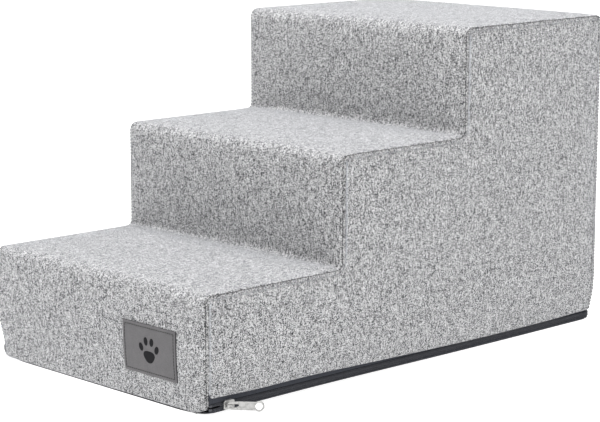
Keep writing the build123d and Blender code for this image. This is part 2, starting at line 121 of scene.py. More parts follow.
def subdivide(obj):
    """Replace an object's mesh by the same one subdivided once."""
    modifier = obj.modifiers.new("smooth", "SUBSURF")
    modifier.levels = 1
    modifier.render_levels = 1
    bpy.context.view_layer.update()
    graph = bpy.context.evaluated_depsgraph_get()
    mesh = bpy.data.meshes.new_from_object(obj.evaluated_get(graph))
    obj.modifiers.clear()
    old = obj.data
    obj.data = mesh
    bpy.data.meshes.remove(old)
    mesh.shade_smooth()
    return obj


def grid_faces(rows, columns, closed=False, flip=False):
    """Quads over a grid of vertices. In a closed grid the last column joins the first, as in a tube."""
    faces = []
    for i in range(rows - 1):
        for j in range(columns if closed else columns - 1):
            a = i * columns + j
            b = i * columns + (j + 1) % columns
            c = b + columns
            d = a + columns
            faces.append((a, d, c, b) if flip else (a, b, c, d))
    return faces


def rod_faces(rings, around):
    """The wall and both end faces of a rod made of rings of vertices."""
    faces = grid_faces(rings, around, closed=True)
    faces.append(tuple(reversed(range(around))))
    faces.append(tuple((rings - 1) * around + k for k in range(around)))
    return faces


def sheet_faces(rows, columns, flip=False):
    """Faces of a sheet with two layers of vertices: the first layer, the second one, then the rim."""
    layer = rows * columns
    faces = grid_faces(rows, columns, flip=flip)
    faces += [tuple(layer + i for i in f) for f in grid_faces(rows, columns, flip=not flip)]
    rim = list(range(columns)) + [r * columns + columns - 1 for r in range(1, rows)]
    rim += [layer - 1 - k for k in range(1, columns)] + [r * columns for r in range(rows - 2, 0, -1)]
    for a, b in zip(rim, rim[1:] + rim[:1]):
        faces.append((a, b, b + layer, a + layer) if flip else (b, a, a + layer, b + layer))
    return faces


def hand_in(piece, node):
    """Hide the CAD model's solid that a piece stands for, and let the piece ride on the stairs."""
    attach(piece, "stairs")
    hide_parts(node)


def set_uv(obj, uv):
    """Give each vertex one UV position, in metres, so that a weave has its real scale."""
    layer = obj.data.uv_layers.new(name="weave")
    loops = np.zeros(len(obj.data.loops), np.int64)
    obj.data.loops.foreach_get("vertex_index", loops)
    layer.data.foreach_set("uv", np.asarray(uv, np.float32)[loops].ravel())


# ---- camera, fitted to the edges of the stairs in the photograph ----
FOCAL_LENGTH = 121.15  # in millimetres, on a sensor 36 mm wide
CAMERA_PLACE = (1.420, -1.3995, 0.495)
CAMERA_TURN, CAMERA_TILT, CAMERA_ROLL = (math.radians(angle) for angle in (45.663, 79.6, 0.18))

camera_data = bpy.data.cameras.new("camera")
camera_data.sensor_width = 36
camera_data.lens = FOCAL_LENGTH
camera_data.clip_end = 50
camera_data.dof.use_dof = False
camera = bpy.data.objects.new("camera", camera_data)
camera.location = CAMERA_PLACE
turn = Matrix.Rotation(CAMERA_TURN, 3, "Z")
tilt = Matrix.Rotation(CAMERA_TILT, 3, "X")
roll = Matrix.Rotation(CAMERA_ROLL, 3, "Z")
camera.rotation_euler = (turn @ tilt @ roll).to_euler()
bpy.context.scene.collection.objects.link(camera)
bpy.context.scene.camera = camera


# ---- materials ----
class Shader:
    """A material with short ways to add and join its nodes."""

    def __init__(self, name, **sockets):
        self.material = bpy.data.materials.new(name)
        self.material.use_nodes = True
        self.nodes = self.material.node_tree.nodes
        self.links = self.material.node_tree.links
        self.principled = self.nodes["Principled BSDF"]
        for socket, value in sockets.items():
            self.principled.inputs[socket.replace("_", " ")].default_value = value

    def put(self, socket, value):
        """Set a socket to a number or colour, or join another node's output to it."""
        if isinstance(value, bpy.types.NodeSocket):
            self.links.new(value, socket)
        else:
            socket.default_value = value

    def math(self, operation, a, b=0.0, clamp=False):
        node = self.nodes.new("ShaderNodeMath")
        node.operation = operation
        node.use_clamp = clamp
        for socket, value in zip(node.inputs, (a, b)):
            self.put(socket, value)
        return node.outputs[0]

    def blend(self, a, share_a, b, share_b):
        """a times share_a plus b times share_b."""
        return self.math("ADD", self.math("MULTIPLY", a, share_a), self.math("MULTIPLY", b, share_b))

    def point(self, x, y, z):
        node = self.nodes.new("ShaderNodeCombineXYZ")
        for socket, value in zip(node.inputs, (x, y, z)):
            self.put(socket, value)
        return node.outputs[0]

    def split(self, vector):
        node = self.nodes.new("ShaderNodeSeparateXYZ")
        self.put(node.inputs[0], vector)
        return node.outputs

    def uv(self):
        """Position on the cloth in metres, from set_uv."""
        node = self.nodes.new("ShaderNodeUVMap")
        node.uv_map = "weave"
        return node.outputs[0]

    def place(self):
        """Position in the object's own frame, in metres."""
        return self.nodes.new("ShaderNodeTexCoord").outputs["Object"]

    def noise(self, vector, scale, detail=2.0, roughness=0.5):
        node = self.nodes.new("ShaderNodeTexNoise")
        self.put(node.inputs["Vector"], vector)
        node.inputs["Scale"].default_value = scale
        node.inputs["Detail"].default_value = detail
        node.inputs["Roughness"].default_value = roughness
        return node.outputs["Fac"]

    def voronoi(self, vector, scale):
        node = self.nodes.new("ShaderNodeTexVoronoi")
        self.put(node.inputs["Vector"], vector)
        node.inputs["Scale"].default_value = scale
        return node.outputs["Distance"]

    def ramp(self, value, low_edge, high_edge, low_out=0.0, high_out=1.0, smoothstep=True):
        """Map a value between two edges to a value between two outputs, with no overshoot."""
        node = self.nodes.new("ShaderNodeMapRange")
        node.interpolation_type = "SMOOTHSTEP" if smoothstep else "LINEAR"
        for socket, number in zip(node.inputs, (value, low_edge, high_edge, low_out, high_out)):
            self.put(socket, number)
        return node.outputs[0]

    def mix(self, factor, a, b):
        node = self.nodes.new("ShaderNodeMix")
        node.data_type = "RGBA"
        self.put(node.inputs[0], factor)
        self.put(node.inputs[6], a)
        self.put(node.inputs[7], b)
        return node.outputs[2]

    def color(self, value):
        self.put(self.principled.inputs["Base Color"], value)

    def roughness(self, value):
        self.put(self.principled.inputs["Roughness"], value)

    def bump(self, height, distance, strength):
        node = self.nodes.new("ShaderNodeBump")
        node.inputs["Strength"].default_value = strength
        node.inputs["Distance"].default_value = distance
        self.put(node.inputs["Height"], height)
        self.put(self.principled.inputs["Normal"], node.outputs[0])


def grey(level):
    return (level, level, level, 1)


def thread_number(s, across, pitch):
    """Which thread of a set a point is on, as a whole number."""
    return s.math("FLOOR", s.math("DIVIDE", across, pitch))


def thread_crown(s, across, pitch):
    """How raised a thread is across its width: 1 at its middle, 0 between two threads."""
    place = s.math("FRACT", s.math("DIVIDE", across, pitch))
    return s.math("SINE", s.math("MULTIPLY", place, math.pi))


def thread_fibre(s, across, along, pitch, length, seed):
    """Noise that changes along each thread over about the given length, and from thread to thread."""
    offset = s.math("MULTIPLY", thread_number(s, across, pitch), 7.31)
    stretched = s.math("DIVIDE", along, length)
    return s.noise(s.point(offset, stretched, seed), 1.0, detail=3.0, roughness=0.62)


def melange_fabric(name, light, dark):
    """Upholstery fabric in a plain weave: light and dark crossings, with dashes along both sets of threads.

    The pitches and shares bring the spread of tones and their grain close to the photograph's.
    """
    yarn = 0.64 * MM  # pitch of the crossings
    warp_width, warp_length, warp_share = 1.05 * MM, 8.0 * MM, 0.20
    weft_width, weft_length, weft_share = 0.85 * MM, 5.0 * MM, 0.15
    crossing_share = 0.44
    mean_tone = 0.47

    s = Shader(name, Sheen_Weight=0.45, Sheen_Roughness=0.45, Specular_IOR_Level=0.15)
    s.principled.inputs["Sheen Tint"].default_value = (0.90, 0.92, 1.0, 1)
    u, v, _ = s.split(s.uv())
    warp_dash = thread_fibre(s, u, v, warp_width, warp_length, 21.0)
    weft_dash = thread_fibre(s, v, u, weft_width, weft_length, 33.0)
    warp_tone = s.ramp(warp_dash, 0.40, 0.60, -1.0, 1.0, smoothstep=False)
    weft_tone = s.ramp(weft_dash, 0.40, 0.60, -1.0, 1.0, smoothstep=False)
    column = s.math("MULTIPLY", thread_number(s, u, yarn), 5.37)
    row = s.math("MULTIPLY", thread_number(s, v, yarn), 8.61)
    crossing = s.noise(s.point(column, row, 3.3), 1.0)
    crossing_tone = s.ramp(crossing, 0.42, 0.58, -1.0, 1.0, smoothstep=False)
    tone = s.blend(warp_tone, warp_share, weft_tone, weft_share)
    tone = s.math("ADD", tone, s.math("MULTIPLY", crossing_tone, crossing_share))
    s.color(s.mix(s.math("ADD", mean_tone, tone, clamp=True), dark, light))
    warp_height = s.math("ADD", 0.35, s.math("MULTIPLY", thread_crown(s, u, yarn), 0.65))
    weft_height = s.math("ADD", 0.35, s.math("MULTIPLY", thread_crown(s, v, yarn), 0.65))
    s.roughness(s.ramp(crossing, 0.3, 0.7, 0.82, 0.98))
    s.bump(s.math("MULTIPLY", warp_height, weft_height), 0.15 * MM, 0.3)
    return s.material


def dark_cloth(name, base, ribs_along_u, pitch, stitch_and_shade_width=None):
    """Dense dark cloth or tape: fine ribs one way, threads the other, a little fibre fade, and painted shade
    in the grooves between threads.

    On a zip tape, stitch_and_shade_width is the width beside the chain that is darkened: the coil's own
    stitching, and painted shade in the gap beside the coil.
    """
    light_factor = 3.3  # how much lighter than the base colour the light end is: fibre fade, and thread crowns against the painted shade in the grooves
    s = Shader(name, Sheen_Weight=0.04, Sheen_Roughness=0.4, Specular_IOR_Level=0.08)
    u, v, _ = s.split(s.uv())
    across, along = (v, u) if ribs_along_u else (u, v)
    fibre = thread_fibre(s, across, along, pitch, 2.0 * MM, 4.0)
    height = s.blend(thread_crown(s, across, pitch), 0.7, thread_crown(s, along, pitch * 0.8), 0.3)
    # painted shade: the random fibre fade is scaled down in the grooves between thread crowns, so the colour
    # darkens there
    fade_and_groove_shade = s.math("MULTIPLY", fibre, s.math("ADD", 0.4, s.math("MULTIPLY", height, 0.6)))
    tone = s.ramp(fade_and_groove_shade, 0.1, 0.8)
    # painted shade beside the chain, together with the coil's stitching: the colour darkens within this width
    # of the chain
    if stitch_and_shade_width:
        tone = s.math("MULTIPLY", s.math("ADD", 0.35, tone), s.ramp(v, stitch_and_shade_width, stitch_and_shade_width + 0.6 * MM))
    light = tuple(light_factor * c for c in base[:3]) + (1,)
    s.color(s.mix(tone, base, light))
    s.roughness(s.ramp(fibre, 0.3, 0.7, 0.7, 0.92))
    s.bump(height, 0.2 * MM, 0.7)
    return s.material


def cast_metal(name):
    """Nickel-plated cast zinc: bright, slightly uneven, with worn dull patches and fine scratches."""
    s = Shader(name, Metallic=0.85)
    place = s.place()
    patch = s.noise(place, 380.0, detail=4.0)
    stretched = [s.math("MULTIPLY", c, k) for c, k in zip(s.split(place), (900, 160, 1500))]
    scratch = s.noise(s.point(*stretched), 1.0, detail=3.0)
    wear = s.ramp(patch, 0.40, 0.75)
    s.color(s.mix(wear, (0.47, 0.466, 0.458, 1), (0.32, 0.317, 0.312, 1)))
    s.roughness(s.math("ADD", 0.30, s.math("MULTIPLY", wear, 0.16)))
    s.bump(s.blend(patch, 0.6, scratch, 0.4), 0.08 * MM, 0.5)
    return s.material


def coil_plastic(name):
    """Black monofilament coil with a soft gloss, a faint dye variation, and lighter patches in its colour
    that are painted glints.
    """
    s = Shader(name, Specular_IOR_Level=0.3)
    cloud = s.noise(s.place(), 700.0)
    # painted highlights: the lighter end of this colour stands in for glints on the wire
    s.color(s.mix(cloud, (0.016, 0.017, 0.021, 1), (0.105, 0.108, 0.124, 1)))
    s.roughness(s.ramp(cloud, 0.3, 0.7, 0.3, 0.5))
    s.bump(cloud, 0.05 * MM, 0.4)
    return s.material


LEATHER_GRAIN = 1500.0  # pebbles per metre


def faux_leather(name):
    """Matte grey faux leather: pebble grain with darker pores and rubbed lighter peaks."""
    s = Shader(name, Specular_IOR_Level=0.35, Sheen_Weight=0.1)
    place = s.place()
    pebble = s.voronoi(place, LEATHER_GRAIN)
    pores = s.noise(place, 2400.0)
    cloud = s.noise(place, 90.0, detail=3.0)
    peak = s.ramp(pebble, 0.1, 0.6, 1.0, 0.0)
    s.color(s.mix(s.blend(peak, 0.45, cloud, 0.55), (0.088, 0.085, 0.089, 1), (0.170, 0.165, 0.170, 1)))
    s.roughness(s.ramp(pores, 0.3, 0.7, 0.5, 0.72))
    s.bump(s.math("ADD", peak, s.math("MULTIPLY", pores, 0.4)), 0.07 * MM, 0.6)
    return s.material


TWIST = 9000.0  # radians per metre


def twisted_thread(name, base, light):
    """Sewing thread: bands of twist across it, with lighter fuzz."""
    s = Shader(name, Sheen_Weight=0.3, Specular_IOR_Level=0.3)
    place = s.place()
    x, y, z = s.split(place)
    twist = s.math("SINE", s.math("MULTIPLY", s.math("ADD", s.math("ADD", x, y), z), TWIST))
    fuzz = s.noise(place, 3000.0, detail=1.0)
    s.color(s.mix(s.math("MULTIPLY", s.ramp(twist, -1.0, 1.0), fuzz), base, light))
    s.roughness(s.ramp(fuzz, 0.3, 0.7, 0.6, 0.85))
    s.bump(twist, 0.05 * MM, 0.6)
    return s.material


def black_print_and_shade(name):
    """Matte black that lets a little of the leather's grain through: the print, and painted shadow on the
    patch's cut edge.
    """
    s = Shader(name, Specular_IOR_Level=0.1)
    grain = s.voronoi(s.place(), LEATHER_GRAIN)
    s.color(s.mix(s.ramp(grain, 0.0, 0.7), (0.005, 0.005, 0.006, 1), (0.016, 0.016, 0.018, 1)))
    s.roughness(s.ramp(grain, 0.0, 0.6, 0.55, 0.75))
    s.bump(grain, 0.05 * MM, 0.4)
    return s.material


def foam_cells(name):
    """Cream open-cell polyurethane foam with fine pores."""
    s = Shader(name, Specular_IOR_Level=0.2, Subsurface_Weight=0.05)
    place = s.place()
    cells = s.voronoi(place, 900.0)
    cloud = s.noise(place, 30.0, detail=3.0)
    tone = s.blend(s.ramp(cells, 0.05, 0.5), 0.6, cloud, 0.4)
    s.color(s.mix(tone, (0.80, 0.77, 0.68, 1), (0.60, 0.56, 0.46, 1)))
    s.roughness(s.ramp(cells, 0.0, 0.6, 0.85, 1.0))
    s.bump(cells, 0.3 * MM, 0.6)
    return s.material


def floor_material(name):
    """Plain pale studio floor, very slightly uneven. It glows, so it stays white with hardly a shadow."""
    s = Shader(name, Specular_IOR_Level=0.0, Emission_Strength=0.94)
    cloud = s.noise(s.place(), 2.0)
    s.color(s.mix(cloud, grey(0.34), grey(0.37)))
    s.roughness(s.ramp(cloud, 0.3, 0.7, 0.85, 0.95))
    s.principled.inputs["Emission Color"].default_value = (1, 1, 1, 1)
    return s.material


FABRIC = melange_fabric("melange_fabric", (0.66, 0.66, 0.665, 1), (0.022, 0.023, 0.025, 1))
# the zip tape's cloth is darkened for 2.2 mm beside the chain: the coil's stitching and painted shade
TAPE_CLOTH = dark_cloth("zip_tape_cloth", (0.017, 0.018, 0.0215, 1), True, 0.5 * MM, stitch_and_shade_width=2.2 * MM)
BASE_CLOTH = dark_cloth("base_cloth", (0.014, 0.014, 0.016, 1), False, 0.8 * MM)
METAL = cast_metal("plated_zinc")
COIL = coil_plastic("coil_plastic")
LEATHER = faux_leather("faux_leather")
SEAM_THREAD = twisted_thread("seam_thread_dark", (0.010, 0.010, 0.011, 1), (0.040, 0.040, 0.042, 1))
LABEL_THREAD = twisted_thread("label_thread_dark", (0.004, 0.004, 0.004, 1), (0.016, 0.016, 0.017, 1))
ZIP_THREAD = twisted_thread("zip_thread_black", (0.010, 0.010, 0.012, 1), (0.05, 0.05, 0.055, 1))
INK = black_print_and_shade("black_ink")
# painted shadow: the patch's cut edge is coloured near black for the shade on its thickness
LABEL_EDGE_SHADE = black_print_and_shade("label_edge_painted_shade")
FOAM = foam_cells("foam_cells")


# ---- the stairs' side outline ----
ARC_STEPS = 5


def rounded_outline(corners, radii, step):
    """Points along a line of corners, with arcs of the given radii and straight runs cut at about step."""
    points = [Vector(corners[0])]
    for before, corner, after, radius in zip(corners, corners[1:], corners[2:], radii):
        corner = Vector(corner)
        inward = (Vector(before) - corner).normalized()
        onward = (Vector(after) - corner).normalized()
        start = corner + inward * radius
        centre = start + onward * radius
        run_to(points, start, step)
        for k in range(1, ARC_STEPS + 1):
            angle = math.pi / 2 * k / ARC_STEPS
            points.append(centre - onward * radius * math.cos(angle) - inward * radius * math.sin(angle))
    run_to(points, Vector(corners[-1]), step)
    return np.array([tuple(p) for p in points])


def run_to(points, end, step):
    """Carry a list of points on to end in a straight line."""
    start = points[-1]
    count = max(1, round((end - start).length / step))
    for k in range(1, count + 1):
        points.append(start.lerp(end, k / count))


def along_line(line):
    """How far each point of a line lies from its start, measured along it."""
    return np.concatenate([[0], np.cumsum(np.linalg.norm(np.diff(line, axis=0), axis=1))])


def outward(line):
    """Unit normals of an outline that runs up the front and down the back, pointing out of the stairs."""
    tangent = np.gradient(line, axis=0)
    tangent /= np.linalg.norm(tangent, axis=1)[:, None]
    return np.stack([-tangent[:, 1], tangent[:, 0]], axis=1)


def chain_height(y):
    """Height of the middle of the zip's chain, which falls towards the back."""
    y = np.asarray(y, float)
    return CHAIN_FRONT + (CHAIN_BACK - CHAIN_FRONT) * np.clip((y - ZIP_START) / (TAPE_Y - ZIP_START), 0, 1)


def cover_edge(y):
    """Height of the cover's lower edge: it arches over the slider and droops towards the back."""
    d = np.asarray(y, float) - FRONT
    front_arch = 1.7 * bump(d, 0.010, 0.030, 0.038)
    slack = 0.7 * bump(d, 0.115, 0.060, 0.060)
    droop = -5.0 * smooth(0.10, 0.40, d) + 1.2 * smooth(0.46, 0.54, d)
    return (14.1 + front_arch + slack + droop) * MM


def base_lift(y):
    """How far the base's long edges stand off the floor, highest behind the slider."""
    d = np.asarray(y, float) - FRONT
    return 2.2 * MM * bump(d, 0.115, 0.20, 0.19)


FOOT = 3.5 * MM  # how far the strip turns in under its front edge
CORNERS = [
    (FRONT + FOOT, BASE_TOP + SEAM_LIFT),
    (FRONT, BASE_TOP + SEAM_LIFT),
    (FRONT, TREADS[0]),
    (RISERS[0], TREADS[0]),
    (RISERS[0], TREADS[1]),
    (RISERS[1], TREADS[1]),
    (RISERS[1], TREADS[2]),
    (BACK, TREADS[2]),
    (BACK, float(cover_edge(BACK))),
]
RADII = (FOOT - 0.4 * MM, NOSING, CREASE, NOSING, CREASE, NOSING, NOSING)
OUTLINE = rounded_outline(CORNERS, RADII, CELL)
NORMALS = outward(OUTLINE)
RUN = along_line(OUTLINE)


def outline_at(inset):
    return OUTLINE - NORMALS * inset


# ---- the cover: one strip and two sides, built as one mesh, padded, then parted at the seams ----
HEM = ((0.6 * MM, -0.35 * MM), (1.15 * MM, 0.5 * MM), (1.2 * MM, 6 * MM))  # rows of the hem: inward, up
HEM_ROW = 1.2 * MM  # cloth between two rows of the hem
RIM = (  # the strip's last columns before each side: distance inside SIDE, drop below the outline
    (2.9 * MM, 0.05 * MM),
    (1.7 * MM, 0.45 * MM),
    (1.15 * MM, 1.15 * MM),
    (0.6 * MM, 1.3 * MM),  # the seam
)
SIDE_RINGS = ((0.45 * MM, 2.6 * MM), (0.05 * MM, 4.3 * MM))  # the side's first rings after the seam, likewise


def strip_columns():
    """Position across the width and drop below the surface of each column of the strip's mesh."""
    flat = SIDE - 5.2 * MM
    count = round(2 * flat / CELL)
    middle = [(-flat + 2 * flat * k / count, 0.0) for k in range(count + 1)]
    rim = [(SIDE - inward, drop) for inward, drop in RIM]
    return [(-x, drop) for x, drop in reversed(rim)] + middle + rim


class Cover:
    """The cover's mesh as lists: vertices, UVs, faces with their panel (0 strip, 1 right, -1 left), hems."""

    def __init__(self):
        self.verts, self.uvs, self.faces, self.panels = [], [], [], []
        self.hem = set()
        self.side_uv = {}
        self.add_strip()
        for sign, column in ((1, len(self.columns) - 1), (-1, 0)):
            self.add_side(sign, column * self.rows)

    def vert(self, co, uv):
        self.verts.append(tuple(co))
        self.uvs.append(tuple(uv))
        return len(self.verts) - 1

    def face(self, corners, panel, flip=False):
        self.faces.append(tuple(corners)[::-1] if flip else tuple(corners))
        self.panels.append(panel)

    def add_strip(self):
        """Add the strip that runs up the risers, over the treads and down the back."""
        self.columns = strip_columns()
        self.rows = len(OUTLINE)
        for x, drop in self.columns:
            for (y, z), run in zip(outline_at(drop), RUN):
                self.vert((x, y, z), (x, run))
        for quad in grid_faces(len(self.columns), self.rows, flip=True):
            self.face(quad, 0)
        edge = [c * self.rows + self.rows - 1 for c in range(len(self.columns))]
        self.add_hem(edge, 0, (0, -1), True)

    def add_hem(self, edge, panel, inward, flip):
        """Turn a lower edge in under itself. Inward is a direction in plan."""
        before = edge
        length = 0.0
        for inset, rise in HEM:
            length += HEM_ROW
            row = []
            for i in edge:
                x, y, z = self.verts[i]
                u, v = self.uvs[i]
                place = (x + inward[0] * inset, y + inward[1] * inset, z + rise)
                row.append(self.vert(place, (u, v - length)))
            self.hem.update(row)
            for k in range(len(edge) - 1):
                self.face((before[k], before[k + 1], row[k + 1], row[k]), panel, flip)
            before = row

    def add_side(self, sign, seam_start):
        """Add a side panel, from the strip's seam column inwards."""
        rings = [list(range(seam_start, seam_start + self.rows))]
        for i in rings[0]:
            self.side_uv[(sign, i)] = self.verts[i][1:]
        for inward, inset in SIDE_RINGS:
            x = sign * (SIDE - inward)
            rings.append([self.vert((x, y, z), (y, z)) for y, z in outline_at(inset)])
        for a, b in zip(rings, rings[1:]):
            for i in range(self.rows - 1):
                self.face((a[i], a[i + 1], b[i + 1], b[i]), sign, sign < 0)
        low_edge = self.add_field(rings[-1], sign)
        edge = [ring[-1] for ring in rings] + low_edge
        self.add_hem(edge, sign, (-sign, 0), sign < 0)

    def add_field(self, rim, sign):
        """Fill one side inside its rim with an even field of small faces. Returns its lower edge."""
        rim_points = [self.verts[i][1:] for i in rim]
        start_y = rim_points[-1][0]
        zip_end = ZIP_START - 0.5 * MM
        count = round((start_y - zip_end) / CELL)
        low_line = []
        for k in range(1, count + 1):
            y = start_y + (zip_end - start_y) * k / count
            low_line.append((y, float(cover_edge(y))))
        foot = BASE_TOP + SEAM_LIFT
        top = low_line[-1][1]
        tab = [(zip_end - 0.4 * MM * k, top + (foot - top) * k / 2) for k in (1, 2)]
        loop = rim_points + low_line + tab
        points = [Vector(p) for p in loop + field_points(loop)]
        edges = [(i, (i + 1) % len(loop)) for i in range(len(loop))]
        result = delaunay_2d_cdt(points, edges, [list(range(len(loop)))], 1, 1e-6)
        corners, triangles, origins = result[0], result[2], result[3]
        index, placed = [], {}
        for i, p in enumerate(corners):
            origin = min(origins[i], default=len(points))
            on_rim = origin < len(rim)
            index.append(rim[origin] if on_rim else self.vert((sign * SIDE, p.x, p.y), (p.x, p.y)))
            placed[origin] = index[-1]
        for triangle in triangles:
            a, b, c = (corners[k] for k in triangle)
            anticlockwise = (b - a).cross(c - a) > 0
            self.face([index[k] for k in triangle], sign, anticlockwise != (sign > 0))
        return [placed[len(rim) + k] for k in range(count)]

    def panel_object(self, name, panel, places):
        """One panel as its own object, with its weave laid in its own direction."""
        chosen = [f for f, p in zip(self.faces, self.panels) if p == panel]
        used = sorted(set(i for f in chosen for i in f))
        new_index = {old: new for new, old in enumerate(used)}
        faces = [[new_index[i] for i in f] for f in chosen]
        obj = new_object(name, places[used], faces, FABRIC)
        set_uv(obj, [self.side_uv.get((panel, i), self.uvs[i]) for i in used])
        mesh = bmesh.new()
        mesh.from_mesh(obj.data)
        flat = [f for f in mesh.faces if len(f.verts) == 3]
        bmesh.ops.join_triangles(mesh, faces=flat, angle_face_threshold=0.3, angle_shape_threshold=0.9)
        mesh.to_mesh(obj.data)
        mesh.free()
        return subdivide(obj)


def field_points(loop):
    """An even lattice of points inside a loop, kept a margin away from it."""
    start = np.array(loop)
    end = np.roll(start, -1, axis=0)
    span = end - start
    margin = 0.62 * CELL
    found = []
    for y in np.arange(start[:, 0].min() + CELL / 2, start[:, 0].max(), CELL):
        for z in np.arange(start[:, 1].min() + CELL / 2, start[:, 1].max(), CELL):
            p = np.array((y, z))
            t = np.clip(((p - start) * span).sum(1) / (span**2).sum(1), 0, 1)
            near = np.linalg.norm(start + span * t[:, None] - p, axis=1).min()
            crossing = (start[:, 1] > z) != (end[:, 1] > z)
            at = start[crossing, 0] + (z - start[crossing, 1]) / span[crossing, 1] * span[crossing, 0]
            if near > margin and np.count_nonzero(at > y) % 2:
                found.append((y, z))
    return found


PRESSURE = 0.4  # of the padding on the cover, outwards
HOLD = 0.06  # how firmly the foam holds the cover to its shape
CLOTH_FRAMES = 20


def pad_cover(obj, rest, hem):
    """Swell the cover over its foam with a cloth simulation, and return how far each vertex moves."""
    held = obj.vertex_groups.new(name="held")
    for i, (x, y, z) in enumerate(rest):
        at_zip = i in hem or z < float(cover_edge(y)) + 2 * MM
        at_front = z < BASE_TOP + 4 * MM and y < FRONT + 8 * MM
        held.add([i], 1.0 if at_zip or at_front else HOLD, "REPLACE")
    cloth = obj.modifiers.new("padding", "CLOTH")
    settings = cloth.settings
    settings.quality = 6
    settings.mass = 0.35
    settings.tension_stiffness = 40
    settings.compression_stiffness = 40
    settings.shear_stiffness = 15
    settings.bending_stiffness = 4
    settings.air_damping = 2
    settings.use_pressure = True
    settings.uniform_pressure_force = PRESSURE
    settings.vertex_group_mass = "held"
    settings.pin_stiffness = 1
    settings.effector_weights.gravity = 0
    cloth.collision_settings.use_collision = False
    cloth.collision_settings.use_self_collision = False
    scene = bpy.context.scene
    cloth.point_cache.frame_start = 1
    cloth.point_cache.frame_end = CLOTH_FRAMES
    for step in range(1, CLOTH_FRAMES + 1):
        scene.frame_set(step)
    graph = bpy.context.evaluated_depsgraph_get()
    result = obj.evaluated_get(graph)
    mesh = result.to_mesh()
    moved = np.zeros(len(mesh.vertices) * 3)
    mesh.vertices.foreach_get("co", moved)
    result.to_mesh_clear()
    obj.modifiers.clear()
    scene.frame_set(1)
    return moved.reshape(-1, 3) - rest


SWELL_CAP = 3.6 * MM


def cap_swell(swell):
    """Limit how far each vertex moves, softly."""
    size = np.linalg.norm(swell, axis=1)[:, None]
    return swell * (SWELL_CAP * np.tanh(size / SWELL_CAP) / np.maximum(size, 1e-9))


def tuck_corners(places, radius, end, top):
    """Round the upright corners at one end (1 back, -1 front) in plan near the floor, fading out by top."""
    centre = np.array((SIDE - radius, (BACK if end > 0 else -FRONT) - radius))
    offset = np.stack([np.abs(places[:, 0]), places[:, 1] * end], axis=1) - centre
    outside = (offset > 0).all(axis=1)
    reach = np.linalg.norm(offset, axis=1)
    pull = np.where(outside, np.maximum(reach - radius, 0), 0) / np.maximum(reach, 1e-9)
    pull = pull * (1 - smooth(0.2 * top, top, places[:, 2]))
    moved = places.copy()
    moved[:, 0] -= np.sign(places[:, 0]) * offset[:, 0] * pull
    moved[:, 1] -= end * offset[:, 1] * pull
    return moved


def stand_proud(places):
    """Fill the cover out by FULLNESS on every side, fading to nothing at the floor and the zip."""
    moved = places.copy()
    rise = smooth(0.012, 0.050, places[:, 2])
    moved[:, 0] *= 1 + FULLNESS / SIDE * rise
    moved[:, 1] *= 1 + FULLNESS / BACK * rise
    moved[:, 2] += FULLNESS * smooth(0.05, TREADS[0], places[:, 2])
    return moved


def bridge_creases(places):
    """Stand the strip off its inner corners in the middle, while the seams pull it in at both ends."""
    moved = places.copy()
    for y, z in ((RISERS[0], TREADS[0]), (RISERS[1], TREADS[1])):
        away = np.hypot(places[:, 1] - y, places[:, 2] - z)
        across = 1 - np.abs(places[:, 0] / SIDE) ** 3
        push = BRIDGE * np.exp(-((away / BRIDGE_REACH) ** 2)) * np.clip(across, 0, 1)
        moved[:, 1] -= push * 0.7
        moved[:, 2] += push * 0.7
    return moved


def settle_foot(places):
    """Let the front's lower edge hang nearly to the floor, and lift it a little towards both corners."""
    x, y, z = places.T
    at_foot = (1 - smooth(3 * MM, 12 * MM, z)) * (1 - smooth(FRONT + 8 * MM, FRONT + 16 * MM, y))
    right = smooth(-0.04, 0.13, x)
    corner = smooth(SIDE - 0.016, SIDE - 0.002, x)
    left = 1 - smooth(-SIDE, -SIDE + 0.014, x)
    moved = places.copy()
    moved[:, 2] += at_foot * (-0.95 + 0.5 * right + 5.0 * corner + 2.2 * left) * MM
    return moved


cover = Cover()
rest = np.array(cover.verts)
shell = new_object("cover_shell", cover.verts, cover.faces)
swell = cap_swell(pad_cover(shell, rest, cover.hem))
bpy.data.objects.remove(shell)
places = stand_proud(bridge_creases(rest + swell))
places = tuck_corners(places, ZIP_CORNER, 1, 30 * MM)
places = tuck_corners(places, FRONT_CORNER, -1, 40 * MM)
places = settle_foot(places)
strip = cover.panel_object("cover_strip", 0, places)
side_right = cover.panel_object("cover_side_right", 1, places)
side_left = cover.panel_object("cover_side_left", -1, places)
for piece, node in ((strip, "stair_panel"), (side_right, "side_panel_right"), (side_left, "side_panel_left")):
    hand_in(piece, node)


# ---- stitches along the two side seams ----
STITCH_RINGS = ((0.0, 0.35), (0.08, 0.85), (0.5, 1.05), (0.92, 0.85), (1.0, 0.35))  # place along, thickness


def stitch_row(name, starts, ends, radius, material):
    """Many short round-ended stitches as one mesh, each from its start to its end."""
    around = 6
    verts, faces = [], []
    for a, b in zip(starts, ends):
        a, b = Vector(a), Vector(b)
        along = (b - a).normalized()
        side = along.orthogonal().normalized()
        other = along.cross(side)
        base = len(verts)
        for t, fat in STITCH_RINGS:
            middle = a.lerp(b, t)
            for k in range(around):
                angle = 2 * math.pi * k / around
                verts.append(middle + (side * math.cos(angle) + other * math.sin(angle)) * radius * fat)
        faces += [tuple(base + i for i in f) for f in rod_faces(len(STITCH_RINGS), around)]
    return new_object(name, verts, faces, material)


def resample(line, gap):
    """Points along a polyline at even spacing, as an array."""
    line = np.asarray(line, float)
    run = along_line(line)
    count = int(run[-1] / gap)
    at = np.linspace(0, run[-1], count + 1)
    return np.stack([np.interp(at, run, line[:, k]) for k in range(3)], axis=1)


